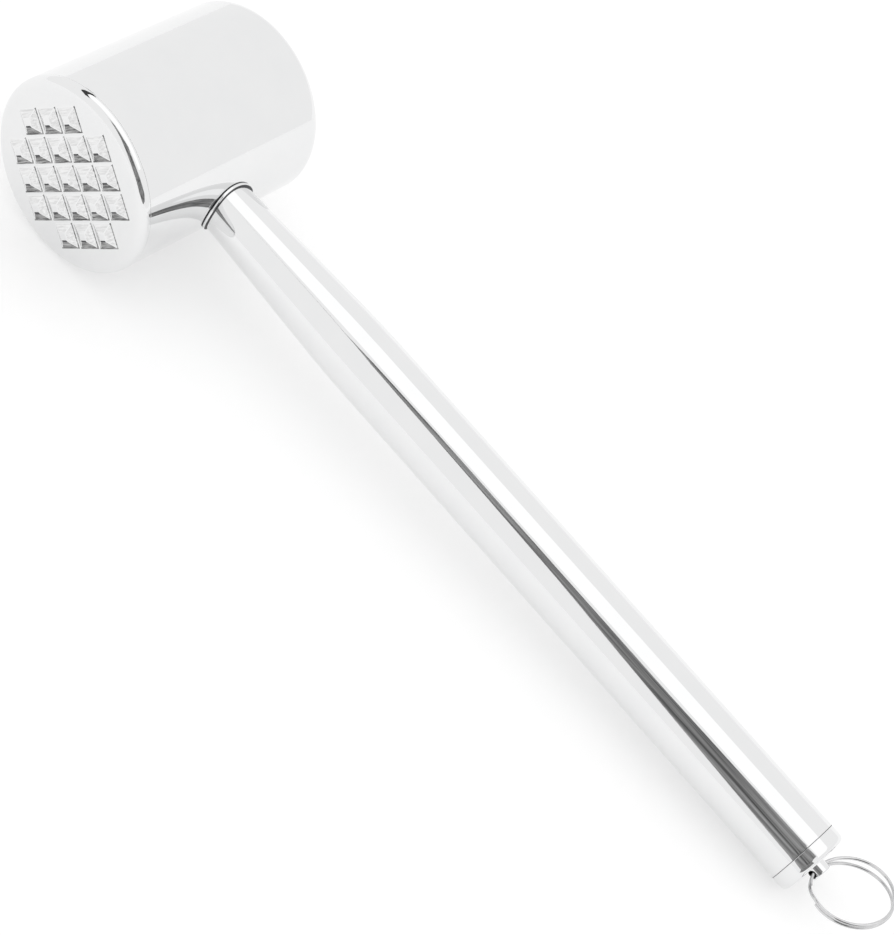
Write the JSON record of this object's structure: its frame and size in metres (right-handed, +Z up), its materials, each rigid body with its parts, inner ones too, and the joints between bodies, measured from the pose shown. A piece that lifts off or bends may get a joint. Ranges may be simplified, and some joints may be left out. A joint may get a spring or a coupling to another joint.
{
  "type": "meat mallet",
  "caption": "Polished steel meat mallet with a round drum head, pyramid teeth on one face, a smooth face, a tube handle and a hanging ring.",
  "frame": {"origin": "on the table, under the middle of the tool's box as it lies on its side", "axes": "+X from the head to the butt, -Y towards the toothed face, +Z up"},
  "size_m": [0.336, 0.0764, 0.06],
  "materials": {
    "mirror_steel": "mirror polished stainless steel",
    "spring_wire": "bright drawn spring wire",
    "plain_steel": "turned steel, not polished",
    "zinc_steel": "bright zinc plated steel"
  },
  "bodies": {
    "mallet": {"head_shell": "mirror_steel", "toothed_face": "mirror_steel", "rear_disc": "plain_steel", "head_core": "plain_steel", "neck_collar": "mirror_steel", "handle_tube": "mirror_steel", "neck_plug": "plain_steel", "tie_stud": "zinc_steel", "lock_washer": "zinc_steel", "end_cap": "mirror_steel", "hanging_eye": "mirror_steel", "eye_washer": "zinc_steel", "eye_nut": "zinc_steel"},
    "ring": {"split_ring": "spring_wire"}
  },
  "joints": [
    {"name": "ring_swing", "type": "hinge", "parent": "mallet", "child": "ring", "pos_m": [0.14522, 0.00075, 0.01076], "axis": [0, 1, 0], "range_deg": [-60, 100]}
  ]
}
